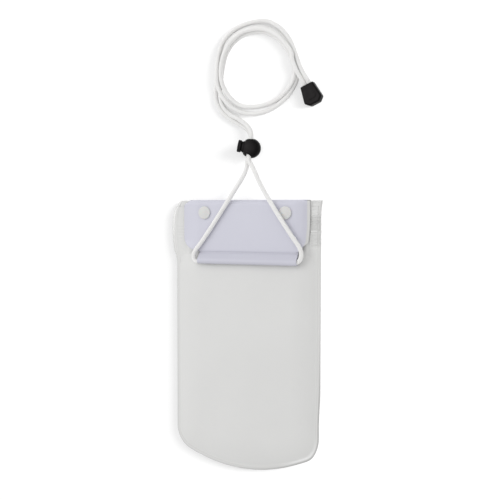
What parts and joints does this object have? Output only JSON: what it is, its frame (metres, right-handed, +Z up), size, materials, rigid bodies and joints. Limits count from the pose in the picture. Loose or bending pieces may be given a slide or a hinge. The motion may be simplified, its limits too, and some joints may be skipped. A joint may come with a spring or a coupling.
{
  "type": "waterproof phone pouch",
  "caption": "Flat waterproof phone pouch of welded film with a snap-down closing flap, a press zip and a coiled neck cord with a ball cord lock.",
  "frame": {"origin": "on the table under the middle of the pouch", "axes": "+X across the pouch, +Y from its foot to its mouth and the neck cord, +Z up, out of the side with the flap"},
  "size_m": [0.1131, 0.3193, 0.0141],
  "materials": {
    "frosted_film": "frosted, slightly see-through film",
    "zip_film": "clear extruded strip",
    "lavender_film": "satin film with a faint lavender tint",
    "snap_plastic": "moulded, off-white",
    "black_plastic": "moulded, satin black",
    "spring_steel": "drawn wire",
    "woven_cord": "round braided cord, pale grey"
  },
  "bodies": {
    "pouch": {"front_panel": "frosted_film", "back_panel": "frosted_film", "zip_front": "zip_film", "zip_back": "zip_film", "closing_flap": "lavender_film", "left_snap_cap": "snap_plastic", "left_snap_socket": "snap_plastic", "left_snap_stud": "snap_plastic", "left_snap_rivet": "snap_plastic", "right_snap_cap": "snap_plastic", "right_snap_socket": "snap_plastic", "right_snap_stud": "snap_plastic", "right_snap_rivet": "snap_plastic", "lock_body": "black_plastic", "lock_spring": "spring_steel", "cord_end_base": "black_plastic", "cord_end_cover": "black_plastic", "cord_coil": "woven_cord", "cord_left": "woven_cord", "cord_right": "woven_cord", "cord_tail_left": "woven_cord", "cord_tail_right": "woven_cord"},
    "lock_button": {"lock_button": "black_plastic"}
  },
  "joints": [
    {"name": "lock_press", "type": "slide", "parent": "pouch", "child": "lock_button", "axis": [0.9243, -0.1886, -0.3319], "range_m": [0, 0.0024], "stiffness_N_per_m": 800, "springref_m": -0.001, "deforming": ["lock_spring"]}
  ]
}
